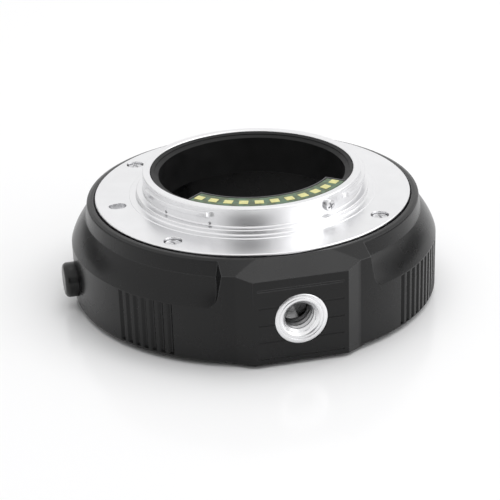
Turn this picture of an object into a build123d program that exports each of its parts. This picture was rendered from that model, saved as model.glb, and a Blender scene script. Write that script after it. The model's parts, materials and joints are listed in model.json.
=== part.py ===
"""Lens mount adapter: a camera-side bayonet, a lens-side bayonet and the barrel between them.

The origin is on the optical axis in the lens-side flange plane. +Z points to the camera, the tripod pad
faces -Y and the release button is at -X. All sizes are millimetres.
"""
import os
from math import cos, radians, sin

from build123d import *

# Overall sizes
flange_distance = 19.42     # lens flange to camera flange
barrel_radius = 34.5
barrel_bottom = 0.68        # the lens ring stands this far out of the barrel
crease_height = 11.3        # wall meets shoulder
shoulder_top = 16.0
shoulder_radius = 31.6
rim_radius = 31.24
rim_drop = 0.47             # the rim lies this far below the camera flange
rim_height = flange_distance - rim_drop
rim_round = 0.6
rim_fall = 0.1
bottom_chamfer = 0.4
shoulder_bulge = 0.33       # how far the shoulder stands out of a straight cone
seat_gap = 0.02             # between fixed pieces that fit round each other
running_gap = 0.05          # between pieces that slide in each other

# Camera-side bayonet
plate_radius = 29.6
plate_thickness = 2.02
plate_seat = flange_distance - plate_thickness
plate_gap = 0.3
tube_bore = 19.03
tube_wall = 1.47
tube_radius = tube_bore + tube_wall
tube_height = 4.55
tube_top = flange_distance + tube_height
collar_step = 1.3           # the collar stands this far out of the tube
collar_radius = tube_radius + collar_step
collar_height = 1.03
collar_top = flange_distance + collar_height
plate_step_width = 1.4
plate_step_radius = collar_radius + plate_step_width
plate_step = 0.1            # the ring round the collar stands this far out of the plate
foot_chamfer = 0.2          # at the feet of collar and tube
tab_reach = 0.75
tab_radius = tube_radius + tab_reach
tab_width = 44.5            # degrees along the outer edge
tab_blend = 3.5             # degrees of hollow run-out at each end
tab_drop = 0.87             # the tabs lie this far below the tube's end
tab_top = tube_top - tab_drop
tab_thickness = 0.85
tab_angles = (91.5, 211.5, 334)
pip_radius = 0.28           # two small holes at the foot of the tube
pip_depth = 0.5
pip_height = 0.4            # above the collar
pip_angles = (207, 234.8)
edge_break = 0.15
camera_screw_inset = 2.7     # from the plate's edge
camera_screw_radius = plate_radius - camera_screw_inset
screw_angles = (45, 135, 225, 315)
lock_slot_radius = 25.8
lock_slot_angle = 181.4
lock_slot_length = 3.3
lock_slot_width = 2.55
lock_slot_depth = 1.5
stop_screw_angle = 297.6
stop_screw_drop = 1.77
stop_screw_height = tube_top - stop_screw_drop

# Small screws: head radius, head height, shank radius
camera_screw = (1.5, 0.9, 0.85)
stop_screw_size = (1.1, 0.8, 0.55)
small_screw = (1.1, 0.7, 0.6)
counterbore_radius = 1.65
counterbore_depth = 1.1
camera_screw_length = 6.0
small_screw_length = 4.0
cross_width = 0.32
cross_depth = 0.4
cross_share = 1.25           # cross length over head radius

# Lens-side bayonet
ring_radius = 30.45
ring_thickness = 2.2
ring_gap = 0.1
throat_radius = 24.4
lug_radius = 22.2
lug_width = 56
lug_front = 0.7
lug_angles = (30, 150, 270)
lens_screw_inset = 2.55      # from the ring's edge
lens_screw_radius = ring_radius - lens_screw_inset
flat_head_radius = 1.7
lens_screw_length = 5.0
leaf_length = 9.0
leaf_width = 1.4
leaf_thickness = 0.25
leaf_lift = 0.6
leaf_ring = (throat_radius + lug_radius) / 2
rivet_radius = 0.45
rivet_depth = 0.9
rivet_stand = 0.15           # above the leaf

# Tunnel through the barrel
throat_gap = 0.2
throat_wall = throat_radius + throat_gap
throat_depth = 8.0
tunnel_radius = 20.5
ledge_drop = 1.5
ledge_height = plate_seat - ledge_drop
relief_wall = 1.6
relief_inner = throat_wall + relief_wall
relief_outer = ring_radius - 0.85
relief_roof = 4.0
relief_top = plate_seat - relief_roof
relief_width = 58
relief_angles = (0, 90)

# Tripod pier at -Y
pad_flat = 0.2              # the pad is cut this far into the barrel
pad_depth = barrel_radius - pad_flat
pad_half_width = 8.5
facet_angle = 19.0
pier_drop = 2.25
pier_top = rim_height - pier_drop
pier_slope = 0.5
pier_cap_slope = 0.36
pier_half_top = 12.6        # the pier's half width well above the rim
pier_half_bend = 14.0
pier_bend = 13.6            # height where its side starts to curve out into the crease
pier_half_foot = 16.0
pier_foot = 11.0
groove_count = 5
groove_pitch = 3.27
groove_length = 15.4
groove_width = 0.34
groove_depth = 0.12
groove_middle = 8.3
insert_radius = 9.525 / 2
insert_length = 7.3
insert_height = 8.7
thread_minor_radius = 2.6
thread_mouth_radius = 3.25
thread_depth = 6.2

# Grip ribs
rib_pitch = 2.97
rib_width = 1.1              # at the wall
rib_floor = 0.3
rib_depth = 0.42
rib_top = crease_height - 0.15
rib_bottom = barrel_bottom + bottom_chamfer + 0.2
left_ribs = 7
left_rib_start = 213.2
right_ribs = 37
seam_angle = 123            # where the turned surface starts, clear of ribs and pockets

# Release button, slide and lock pin at -X
travel = 1.5
stop_gap = 0.05             # between a sliding piece and its stop at rest
pin_inset = 3.55            # from the lens ring's edge
pin_place = ring_radius - pin_inset
pin_radius = 0.8
pin_reach = 1.2
pin_tip = 0.35
pin_top = 10.0
pin_collar_step = 0.25
pin_collar_radius = pin_radius + pin_collar_step
pin_collar_height = 0.75
pin_collar_room = 0.1
pin_hole_wall = 2.0         # over the spring's hole
pin_hole_top = plate_seat - pin_hole_wall
button_height = 5.5
button_radius = 3.3
button_stand = 2.3
button_reach = barrel_radius + button_stand
button_round = 0.9
button_roof = 1.2
button_wall = 0.6
button_gap = 0.1
stem_radius = 1.2
stem_wall = 1.0
slide_base = 0.8
pocket_outer = pin_place + pin_collar_radius + pin_collar_room + travel + slide_base + stop_gap
spring_seat = pocket_outer + stem_wall
skirt_room = 0.3
button_skirt_end = spring_seat + travel + skirt_room
nose_room = 0.2
pocket_inner = pin_place - travel - nose_room
slide_side_room = 0.2
slide_fork_room = 0.05      # between the pin's collar and the fork's cheeks
slide_fork_gap = pin_collar_radius + slide_fork_room
slide_cheek = 1.2
slide_half_width = slide_fork_gap + slide_cheek
pocket_half_width = slide_half_width + slide_side_room
slide_base_half = 2.2
slide_low = button_height - 0.6
slide_nose = 0.1
slide_ramp = 2.2
slide_high = slide_low + slide_nose + slide_ramp
pocket_roof = 9.0
peg_radius = 0.4
peg_height = slide_low + slide_nose + (peg_radius + running_gap) / cos(radians(45))
button_wire = 0.22
button_turns = 3
pin_wire = 0.12
pin_turns = 4

# Light baffle, contact holder and boards, centred on -Y
down = 270
holder_gap = 0.1
holder_outer = tube_bore - holder_gap
holder_depth = 3.93
holder_inner = holder_outer - holder_depth
holder_drop = 0.77          # the holder lies this far below the tube's end
holder_top = tube_top - holder_drop
holder_span = 104
baffle_wall = 1.43
baffle_radius = holder_outer - baffle_wall
baffle_drop = 0.97
baffle_top = tube_top - baffle_drop
lip_drop = 0.2              # the baffle's lip lies this far below the tube's end
lip_top = tube_top - lip_drop
lip_width = 0.63
lip_radius = holder_outer - lip_width
lip_fall = 0.22
lip_step = 0.15
baffle_cut = 105
holder_lip = 0.45
holder_wall = 0.7
holder_roof = 1.0
holder_hollow_span = 84
board_span = 98.6
board_inner = holder_inner + holder_lip + running_gap
board_thickness = 0.73
pad_count = 11
pad_pitch = 9.2
pad_ring = holder_outer - 1.58
pad_width = 1.75
pad_radial = 1.6
pad_thickness = 0.06
holder_screw_ring = holder_outer - 1.93
holder_screw_offset = 46.5

# Spring contacts for the lens
block_gap = 0.3
block_outer = tunnel_radius - block_gap
block_depth = 4.2
block_inner = block_outer - block_depth
block_span = 68
ear_thickness = 1.4
block_bottom = throat_depth - ear_thickness
block_floor = 1.2
block_wall = 0.7
ear_gap = 0.2
ear_outer = throat_radius - ear_gap
ear_span = 13
ear_screw_ring = (tunnel_radius + ear_outer) / 2 - 0.05
contact_count = 9
contact_pitch = 6.8
contact_ring = (block_inner + block_outer) / 2
contact_radius = 0.5
contact_head = 0.8
contact_head_height = 0.6
contact_tip = 0.25
contact_reach = 0.95
contact_travel = 0.8
finger_room = 1.15          # left for a bent finger over a pin that is pressed in
finger_thickness = 0.15
finger_width = 1.2
pin_board_thickness = 0.6
flex_thickness = 0.2
flex_ring = holder_outer - 0.93
flex_span = 24
flex_slot_span = 28

os.makedirs("parts", exist_ok=True)


def radial_plane(angle):
    """Plane through the optical axis: local x points outward at this angle, local y is +Z."""
    return Plane(
        origin=(0, 0, 0),
        x_dir=(cos(radians(angle)), sin(radians(angle)), 0),
        z_dir=(sin(radians(angle)), -cos(radians(angle)), 0),
    )


def tangent_plane(radius, angle):
    """Plane that faces outward at this radius: local x runs round the ring, local y is +Z."""
    return Plane(
        origin=on_ring(radius, angle, 0),
        x_dir=(-sin(radians(angle)), cos(radians(angle)), 0),
        z_dir=(cos(radians(angle)), sin(radians(angle)), 0),
    )


def head_plane(radius, angle, height, up):
    """Plane under a screw head at this place, facing up (1) or down (-1)."""
    return Plane(
        origin=on_ring(radius, angle, height),
        x_dir=(cos(radians(angle)), sin(radians(angle)), 0),
        z_dir=(0, 0, up),
    )


def on_ring(radius, angle, height):
    return (radius * cos(radians(angle)), radius * sin(radians(angle)), height)


def arc_block(inner, outer, low, high, middle, span, mode=Mode.ADD):
    """Part of a ring of rectangular section, centred on one angle."""
    with BuildSketch(radial_plane(middle - span / 2)) as section:
        with Locations(((inner + outer) / 2, (low + high) / 2)):
            Rectangle(outer - inner, high - low)
    revolve(section.sketch, axis=Axis.Z, revolution_arc=span, mode=mode)


def round_bar(plane, radius, length, mode=Mode.ADD):
    """Cylinder that starts on the plane and runs along its normal."""
    with BuildSketch(plane) as section:
        Circle(radius)
    extrude(section.sketch, amount=length, mode=mode)


def cross_recess(plane, size):
    """Cross slot cut into a screw head that faces along the plane's normal."""
    with BuildSketch(plane) as cross:
        Rectangle(size, cross_width)
        Rectangle(cross_width, size)
    extrude(cross.sketch, amount=-cross_depth, mode=Mode.SUBTRACT)


def bayonet_tab(angle):
    """Tab centred on one angle, with a hollow run-out to the tube at each end."""
    start = angle - tab_width / 2
    end = angle + tab_width / 2
    foot = (start - tab_blend, end + tab_blend)
    hollow = tube_radius + tab_reach / 4
    root = tube_radius - edge_break
    with BuildSketch(Plane.XY.offset(tab_top - tab_thickness)) as outline:
        with BuildLine():
            for inner, outer in ((foot[0], start), (foot[1], end)):
                ThreePointArc(
                    on_ring(tube_radius, inner, 0),
                    on_ring(hollow, (inner + outer) / 2, 0),
                    on_ring(tab_radius, outer, 0),
                )
                Line(on_ring(root, inner, 0), on_ring(tube_radius, inner, 0))
            for radius, ends in ((tab_radius, (start, end)), (root, foot)):
                ThreePointArc(
                    on_ring(radius, ends[0], 0),
                    on_ring(radius, angle, 0),
                    on_ring(radius, ends[1], 0),
                )
        make_face()
    extrude(outline.sketch, amount=tab_thickness)


def pan_screw(plane, size, length):
    """Screw whose head sits on the plane and whose shank runs back from it."""
    head_radius, head_height, shank_radius = size
    round_bar(plane, head_radius, head_height)
    round_bar(plane, shank_radius, -length)


def coil(plane, radius, wire, length, turns):
    """Coil spring of square wire that starts on the plane and is this long along its normal."""
    rise = length - 2 * wire
    foot = plane.offset(wire)
    with BuildLine() as path:
        Helix(rise / turns, rise, radius, center=foot.origin, direction=foot.z_dir)
    start = Plane(origin=path.line @ 0, z_dir=path.line % 0)
    with BuildSketch(start) as section:
        Rectangle(2 * wire, 2 * wire)
    sweep(section.sketch, path=path.line, is_frenet=True)


def finish(builder, name):
    builder.part.label = name
    export_step(builder.part, f"parts/{name}.step")


# Places worked out from the sizes above
button_plane = Plane(origin=(0, 0, button_height), x_dir=(0, 1, 0), z_dir=(-1, 0, 0))
insert_plane = Plane(origin=(0, -pad_depth, insert_height), x_dir=(1, 0, 0), z_dir=(0, -1, 0))
camera_screw_seat = flange_distance - counterbore_depth
stop_plane = Plane(
    origin=on_ring(tube_radius, stop_screw_angle, stop_screw_height),
    z_dir=on_ring(1, stop_screw_angle, 0),
)
left_rib_angles = [left_rib_start + i * rib_pitch for i in range(left_ribs)]
right_rib_angles = [(i - (right_ribs - 1) / 2) * rib_pitch for i in range(right_ribs)]
rib_angles = left_rib_angles + [-angle for angle in left_rib_angles] + right_rib_angles
ear_angles = [down + side * (block_span - ear_span) / 2 for side in (-1, 1)]
holder_screw_angles = [down + side * holder_screw_offset for side in (-1, 1)]
contact_angles = [down + (i - (contact_count - 1) / 2) * contact_pitch for i in range(contact_count)]
slide_outer = pocket_outer - stop_gap
slide_inner = slide_outer - slide_base
cavity_floor = block_bottom + block_floor
pin_head = cavity_floor + stop_gap
block_top = pin_head + contact_head_height + contact_travel + finger_room

# Shoulder cutter: takes the shoulder, neck and rim round the barrel, and leaves the pier standing
shoulder_middle = ((barrel_radius + shoulder_radius) / 2, (crease_height + shoulder_top) / 2)
rim_edge = rim_radius - rim_round
cut_reach = barrel_radius + 3
cut_top = flange_distance + 2
with BuildPart() as shoulder_cutter:
    with BuildSketch(Plane.XZ):
        with BuildLine():
            ThreePointArc(
                (barrel_radius, crease_height),
                (shoulder_middle[0] + 0.85 * shoulder_bulge, shoulder_middle[1] + 0.52 * shoulder_bulge),
                (shoulder_radius, shoulder_top),
            )
            Line((shoulder_radius, shoulder_top), (rim_radius, rim_height - rim_round))
            RadiusArc((rim_radius, rim_height - rim_round), (rim_edge, rim_height), -rim_round)
            Polyline(
                (rim_edge, rim_height),
                (rim_edge, cut_top),
                (cut_reach, cut_top),
                (cut_reach, crease_height),
                (barrel_radius, crease_height),
            )
        make_face()
    revolve(axis=Axis.Z)
    with BuildSketch(Plane.XZ):
        with BuildLine():
            pier_side = Polyline((0, cut_top), (pier_half_top, cut_top), (pier_half_bend, pier_bend))
            TangentArc((pier_half_bend, pier_bend), (pier_half_foot, pier_foot), tangent=pier_side % 1)
            Polyline((pier_half_foot, pier_foot), (0, pier_foot), (0, cut_top))
        make_face()
        mirror(about=Plane.YZ)
    extrude(amount=cut_reach, mode=Mode.SUBTRACT)

# Caps over the pier: a shallow cone that runs into the rim, and the facet that slopes down to the pad
cap_edge = rim_edge - rim_fall
with BuildPart() as pier_caps:
    with BuildSketch(Plane.XZ):
        with BuildLine():
            Polyline(
                (plate_radius - plate_gap, rim_height),
                (cap_edge, rim_height),
                (cut_reach, rim_height - pier_cap_slope * (cut_reach - cap_edge)),
                (cut_reach, cut_top),
                (plate_radius - plate_gap, cut_top),
                close=True,
            )
        make_face()
    revolve(axis=Axis.Z)
    with BuildSketch(Plane.YZ):
        with BuildLine():
            Polyline(
                (-cut_reach, pier_top + pier_slope * (pad_depth - cut_reach)),
                (0, pier_top + pier_slope * pad_depth),
                (-cut_reach, pier_top + pier_slope * pad_depth),
                close=True,
            )
        make_face()
    extrude(amount=barrel_radius, both=True)

# Barrel: turned blank with the pad, cut to its outline, then its holes, pockets, grooves and grip ribs
facet_end = on_ring(barrel_radius, down + facet_angle, 0)
facet_run = (facet_end[0] - pad_half_width, facet_end[1] + pad_depth)
facet_outer = (pad_half_width - 0.3 * facet_run[0], -pad_depth - 0.3 * facet_run[1])
facet_inner = (pad_half_width + 1.3 * facet_run[0], -pad_depth + 1.3 * facet_run[1])
with BuildPart() as body_barrel:
    with BuildSketch(radial_plane(seam_angle)):
        with BuildLine():
            Polyline(
                (barrel_radius, cut_top - 1),
                (plate_radius + plate_gap, cut_top - 1),
                (plate_radius + plate_gap, plate_seat),
                (throat_wall, plate_seat),
                (throat_wall, ledge_height),
                (tunnel_radius, ledge_height),
                (tunnel_radius, throat_depth),
                (throat_wall, throat_depth),
                (throat_wall, ring_thickness),
                (ring_radius + ring_gap, ring_thickness),
                (ring_radius + ring_gap, barrel_bottom),
                (barrel_radius - bottom_chamfer, barrel_bottom),
                (barrel_radius, barrel_bottom + bottom_chamfer),
                close=True,
            )
        make_face()
    revolve(axis=Axis.Z)
    with BuildSketch(Plane.XY.offset(barrel_bottom + running_gap)):
        with BuildLine():
            Polyline((0, facet_outer[1]), facet_outer, facet_inner, (0, facet_inner[1]), close=True)
        make_face()
        mirror(about=Plane.YZ)
    extrude(amount=flange_distance)
    with Locations((0, -pad_depth - 1, flange_distance / 2)):
        Box(2 * barrel_radius, 2, 2 * flange_distance, mode=Mode.SUBTRACT)
    add(pier_caps.part, mode=Mode.SUBTRACT)
    add(shoulder_cutter.part, mode=Mode.SUBTRACT)
    for angle in rib_angles:
        with BuildSketch(head_plane(barrel_radius, angle, rib_bottom, 1)):
            with BuildLine():
                Polyline(
                    (-rib_depth, -rib_floor / 2),
                    (rib_depth, -rib_width + rib_floor / 2),
                    (rib_depth, rib_width - rib_floor / 2),
                    (-rib_depth, rib_floor / 2),
                    close=True,
                )
            make_face()
        extrude(amount=rib_top - rib_bottom, mode=Mode.SUBTRACT)
    round_bar(insert_plane, insert_radius + seat_gap, -insert_length, Mode.SUBTRACT)
    with BuildSketch(insert_plane):
        with Locations((0, groove_middle - insert_height)):
            with GridLocations(0, groove_pitch, 1, groove_count):
                SlotOverall(groove_length, groove_width)
    extrude(amount=-groove_depth, mode=Mode.SUBTRACT)
    round_bar(button_plane.offset(spring_seat), button_radius + button_gap, barrel_radius, Mode.SUBTRACT)
    round_bar(button_plane.offset(pocket_outer), stem_radius + running_gap, stem_wall, Mode.SUBTRACT)
    with Locations(((-pocket_outer - pocket_inner) / 2, 0, ring_thickness)):
        Box(
            pocket_outer - pocket_inner,
            2 * pocket_half_width,
            pocket_roof - ring_thickness,
            align=(Align.CENTER, Align.CENTER, Align.MIN),
            mode=Mode.SUBTRACT,
        )
    pin_guide = Plane((-pin_place, 0, pocket_roof))
    round_bar(pin_guide, pin_radius + running_gap, pin_hole_top - pocket_roof, Mode.SUBTRACT)
    for angle in screw_angles:
        top = head_plane(camera_screw_radius, angle, plate_seat, 1)
        round_bar(top, camera_screw[2] + seat_gap, -camera_screw_length, Mode.SUBTRACT)
        low = head_plane(lens_screw_radius, angle, ring_thickness, 1)
        round_bar(low, camera_screw[2] + seat_gap, lens_screw_length - ring_thickness, Mode.SUBTRACT)
    for angle in ear_angles:
        step = head_plane(ear_screw_ring, angle, throat_depth, 1)
        round_bar(step, small_screw[2] + seat_gap, small_screw_length, Mode.SUBTRACT)
    for angle in relief_angles:
        arc_block(relief_inner, relief_outer, ring_thickness, relief_top, angle, relief_width, Mode.SUBTRACT)
finish(body_barrel, "body_barrel")

# Camera-side bayonet: plate, collar and tube turned in one piece, with three tabs
with BuildPart() as camera_mount:
    with BuildSketch(Plane.XZ):
        with BuildLine():
            Polyline(
                (tube_bore, plate_seat),
                (plate_radius, plate_seat),
                (plate_radius, flange_distance - edge_break),
                (plate_radius - edge_break, flange_distance),
                (plate_step_radius, flange_distance),
                (plate_step_radius - plate_step, flange_distance + plate_step),
                (collar_radius + foot_chamfer, flange_distance + plate_step),
                (collar_radius, flange_distance + plate_step + foot_chamfer),
                (collar_radius, collar_top - edge_break),
                (collar_radius - edge_break, collar_top),
                (tube_radius + foot_chamfer, collar_top),
                (tube_radius, collar_top + foot_chamfer),
                (tube_radius, tube_top - edge_break),
                (tube_radius - edge_break, tube_top),
                (tube_bore + edge_break, tube_top),
                (tube_bore, tube_top - edge_break),
                close=True,
            )
        make_face()
    revolve(axis=Axis.Z)
    for angle in tab_angles:
        bayonet_tab(angle)
    with Locations(Plane.XY.offset(flange_distance)):
        with PolarLocations(camera_screw_radius, len(screw_angles), start_angle=screw_angles[0]):
            CounterBoreHole(
                camera_screw[2] + running_gap,
                counterbore_radius,
                counterbore_depth,
                plate_thickness,
            )
    with BuildSketch(Plane.XY.offset(flange_distance)):
        with PolarLocations(lock_slot_radius, 1, start_angle=lock_slot_angle):
            SlotOverall(lock_slot_length, lock_slot_width)
    extrude(amount=-lock_slot_depth, mode=Mode.SUBTRACT)
    for angle in pip_angles:
        pip = Plane(
            origin=on_ring(tube_radius, angle, collar_top + pip_height),
            z_dir=on_ring(1, angle, 0),
        )
        round_bar(pip, pip_radius, -pip_depth, Mode.SUBTRACT)
    round_bar(stop_plane, stop_screw_size[2] + seat_gap, -tube_wall - 1, Mode.SUBTRACT)
finish(camera_mount, "camera_mount")

with BuildPart() as camera_mount_screws:
    for angle in screw_angles:
        seat = head_plane(camera_screw_radius, angle, camera_screw_seat, 1)
        pan_screw(seat, camera_screw, camera_screw_length)
        cross_recess(seat.offset(camera_screw[1]), camera_screw[0] * cross_share)
finish(camera_mount_screws, "camera_mount_screws")

with BuildPart() as stop_screw:
    pan_screw(stop_plane, stop_screw_size, tube_wall - edge_break)
    cross_recess(stop_plane.offset(stop_screw_size[1]), stop_screw_size[0] * cross_share)
finish(stop_screw, "stop_screw")

# Light baffle: sleeve inside the tube on a flange that the plate clamps, open where the contacts sit
with BuildPart() as light_baffle:
    with BuildSketch(radial_plane(down)) as sleeve:
        with BuildLine():
            Polyline(
                (baffle_radius, ledge_height),
                (throat_radius, ledge_height),
                (throat_radius, plate_seat),
                (holder_outer, plate_seat),
                (holder_outer, lip_top),
                (lip_radius, lip_top - lip_fall),
                (lip_radius, lip_top - lip_fall - lip_step),
                (baffle_radius, baffle_top),
                close=True,
            )
        make_face()
    revolve(sleeve.sketch, axis=Axis.Z)
    arc_block(baffle_radius - 1, holder_outer + 1, plate_seat, tube_top, down, baffle_cut, Mode.SUBTRACT)
    arc_block(holder_inner, baffle_radius, ledge_height, plate_seat, down, baffle_cut)
    arc_block(
        flex_ring - 2 * flex_thickness,
        flex_ring + 2 * flex_thickness,
        ledge_height,
        plate_seat,
        down,
        flex_slot_span,
        Mode.SUBTRACT,
    )
    for angle in holder_screw_angles:
        floor_plane = head_plane(holder_screw_ring, angle, ledge_height, 1)
        round_bar(floor_plane, small_screw[2] + running_gap, plate_seat - ledge_height, Mode.SUBTRACT)
finish(light_baffle, "light_baffle")

# Contact holder: hollow arc block with a lip along the inner edge of the board
with BuildPart() as contact_holder:
    arc_block(holder_inner, holder_outer, plate_seat, holder_top, down, holder_span)
    ledge_top = holder_top + board_thickness - edge_break
    arc_block(holder_inner, holder_inner + holder_lip, holder_top, ledge_top, down, board_span)
    hollow_top = holder_top - holder_roof
    hollow_inner = holder_inner + holder_wall
    hollow_outer = holder_outer - holder_wall
    arc_block(hollow_inner, hollow_outer, plate_seat, hollow_top, down, holder_hollow_span, Mode.SUBTRACT)
    arc_block(hollow_inner, hollow_outer, hollow_top, holder_top, down, flex_slot_span, Mode.SUBTRACT)
    for angle in holder_screw_angles:
        foot_plane = head_plane(holder_screw_ring, angle, plate_seat, 1)
        round_bar(foot_plane, small_screw[2] + seat_gap, small_screw_length, Mode.SUBTRACT)
finish(contact_holder, "contact_holder")

with BuildPart() as holder_screws:
    for angle in holder_screw_angles:
        pan_screw(head_plane(holder_screw_ring, angle, ledge_height, -1), small_screw, small_screw_length)
finish(holder_screws, "holder_screws")

with BuildPart() as contact_board:
    arc_block(board_inner, holder_outer, holder_top, holder_top + board_thickness, down, board_span)
finish(contact_board, "contact_board")

with BuildPart() as contact_pads:
    for i in range(pad_count):
        angle = down + (i - (pad_count - 1) / 2) * pad_pitch
        place = on_ring(pad_ring, angle, holder_top + board_thickness)
        with Locations(Location(place, (0, 0, angle))):
            Box(pad_radial, pad_width, pad_thickness, align=(Align.CENTER, Align.CENTER, Align.MIN))
finish(contact_pads, "contact_pads")

# Tripod socket: blind bush with a wide mouth
with BuildPart() as tripod_insert:
    round_bar(insert_plane, insert_radius, -insert_length)
    round_bar(insert_plane, thread_minor_radius, -thread_depth, Mode.SUBTRACT)
    mouth = tripod_insert.faces().sort_by(Axis.Y)[0].inner_wires()[0].edges()
    chamfer(mouth, thread_mouth_radius - thread_minor_radius)
    chamfer(tripod_insert.faces().sort_by(Axis.Y)[0].outer_wire().edges(), edge_break)
finish(tripod_insert, "tripod_insert")

# Release button: hollow cap on a stem that is fixed in the slide
with BuildPart() as release_button:
    round_bar(button_plane.offset(button_skirt_end), button_radius, button_reach - button_skirt_end)
    fillet(release_button.faces().sort_by(Axis.X)[0].edges(), button_round)
    roof = button_reach - button_roof
    bore = button_radius - button_wall
    round_bar(button_plane.offset(button_skirt_end), bore, roof - button_skirt_end, Mode.SUBTRACT)
    round_bar(button_plane.offset(slide_inner), stem_radius, roof - slide_inner)
finish(release_button, "release_button")

with BuildPart() as button_spring:
    coil_middle = (stem_radius + bore) / 2
    coil(button_plane.offset(spring_seat), coil_middle, button_wire, roof - spring_seat, button_turns)
finish(button_spring, "button_spring")

# Slide: base on the button stem, and a fork whose ramps lift the lock pin's peg
with BuildPart() as release_slide:
    with Locations(((-slide_outer - slide_inner) / 2, 0, button_height)):
        Box(slide_base, 2 * slide_half_width, 2 * slide_base_half)
    round_bar(button_plane.offset(slide_inner), stem_radius + seat_gap, slide_base, Mode.SUBTRACT)
    with BuildSketch(Plane.XZ.offset(slide_fork_gap)):
        with BuildLine():
            Polyline(
                (-slide_inner, slide_low),
                (-pin_place, slide_low),
                (-pin_place, slide_low + slide_nose),
                (-pin_place - slide_ramp, slide_high),
                (-slide_inner, slide_high),
                close=True,
            )
        make_face()
    cheek = extrude(amount=slide_half_width - slide_fork_gap)
    mirror(cheek, about=Plane.XZ)
finish(release_slide, "release_slide")

# Lock pin: rounded tip, stop collar and cross peg
with BuildPart() as lock_pin:
    round_bar(Plane((-pin_place, 0, -pin_reach)), pin_radius, pin_reach + pin_top)
    chamfer(lock_pin.faces().sort_by(Axis.Z)[0].edges(), pin_tip)
    round_bar(Plane((-pin_place, 0, ring_thickness + stop_gap)), pin_collar_radius, pin_collar_height)
    peg_plane = Plane(origin=(-pin_place, -slide_half_width, peg_height), z_dir=(0, 1, 0))
    round_bar(peg_plane, peg_radius + seat_gap, 2 * slide_half_width, Mode.SUBTRACT)
finish(lock_pin, "lock_pin")

with BuildPart() as lock_peg:
    round_bar(peg_plane, peg_radius, 2 * slide_half_width)
finish(lock_peg, "lock_peg")

with BuildPart() as lock_pin_spring:
    coil_radius = pin_radius - 2 * pin_wire
    coil(Plane((-pin_place, 0, pin_top)), coil_radius, pin_wire, pin_hole_top - pin_top, pin_turns)
finish(lock_pin_spring, "lock_pin_spring")

# Lens-side bayonet ring with three lugs, leaf springs on the backs of the lugs
with BuildPart() as lens_mount:
    with BuildSketch(Plane.XZ):
        with BuildLine():
            Polyline(
                (throat_radius, edge_break),
                (throat_radius + edge_break, 0),
                (ring_radius - edge_break, 0),
                (ring_radius, edge_break),
                (ring_radius, ring_thickness),
                (throat_radius, ring_thickness),
                close=True,
            )
        make_face()
    revolve(axis=Axis.Z)
    for angle in lug_angles:
        arc_block(lug_radius, throat_radius + edge_break, lug_front, ring_thickness, angle, lug_width)
    with Locations([head_plane(lens_screw_radius, angle, 0, -1) for angle in screw_angles]):
        CounterSinkHole(
            camera_screw[2] + running_gap,
            flat_head_radius + running_gap,
            ring_thickness,
            counter_sink_angle=90,
        )
    round_bar(Plane((-pin_place, 0, 0)), pin_radius + running_gap, ring_thickness, Mode.SUBTRACT)
    for angle in lug_angles:
        rivet_hole = tangent_plane(leaf_ring, angle).from_local_coords((-leaf_length / 3, ring_thickness))
        round_bar(Plane(rivet_hole), rivet_radius + seat_gap, -rivet_depth, Mode.SUBTRACT)
finish(lens_mount, "lens_mount")

with BuildPart() as lens_mount_screws:
    for angle in screw_angles:
        face = head_plane(lens_screw_radius, angle, running_gap, -1)
        with Locations(on_ring(lens_screw_radius, angle, running_gap)):
            Cone(
                flat_head_radius,
                camera_screw[2],
                flat_head_radius - camera_screw[2],
                align=(Align.CENTER, Align.CENTER, Align.MIN),
            )
        round_bar(face, camera_screw[2], running_gap - lens_screw_length)
        cross_recess(face, flat_head_radius * cross_share)
finish(lens_mount_screws, "lens_mount_screws")

with BuildPart() as leaf_springs:
    for angle in lug_angles:
        flat = ring_thickness + leaf_thickness / 2
        with BuildSketch(tangent_plane(leaf_ring, angle)) as leaf:
            with BuildLine():
                Polyline(
                    (-leaf_length / 2, flat),
                    (-leaf_length / 8, flat),
                    (leaf_length / 2, flat + leaf_lift),
                )
            trace(line_width=leaf_thickness)
        extrude(leaf.sketch, amount=leaf_width / 2, both=True)
        rivet_foot = tangent_plane(leaf_ring, angle).from_local_coords((-leaf_length / 3, ring_thickness))
        round_bar(Plane(rivet_foot), rivet_radius + seat_gap, leaf_thickness, Mode.SUBTRACT)
finish(leaf_springs, "leaf_springs")

with BuildPart() as leaf_spring_rivets:
    for angle in lug_angles:
        rivet_foot = tangent_plane(leaf_ring, angle).from_local_coords((-leaf_length / 3, ring_thickness))
        rivet_length = rivet_depth + leaf_thickness + rivet_stand
        round_bar(Plane(rivet_foot).offset(-rivet_depth), rivet_radius, rivet_length)
finish(leaf_spring_rivets, "leaf_spring_rivets")

# Spring contacts: trough-shaped block with ears, nine pins, nine leaf fingers and the board over them
with BuildPart() as pin_block:
    arc_block(block_inner, block_outer, block_bottom, block_top, down, block_span)
    for angle in ear_angles:
        arc_block(block_inner, ear_outer, block_bottom, throat_depth, angle, ear_span)
    arc_block(
        block_inner + block_wall,
        block_outer - block_wall,
        cavity_floor,
        block_top,
        down,
        contact_count * contact_pitch,
        Mode.SUBTRACT,
    )
    for angle in contact_angles:
        under = head_plane(contact_ring, angle, block_bottom, 1)
        round_bar(under, contact_radius + running_gap, block_floor, Mode.SUBTRACT)
    for angle in ear_angles:
        under = head_plane(ear_screw_ring, angle, block_bottom, 1)
        round_bar(under, small_screw[2] + running_gap, throat_depth - block_bottom, Mode.SUBTRACT)
finish(pin_block, "pin_block")

with BuildPart() as pin_block_screws:
    for angle in ear_angles:
        pan_screw(head_plane(ear_screw_ring, angle, block_bottom, -1), small_screw, small_screw_length)
finish(pin_block_screws, "pin_block_screws")

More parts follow.
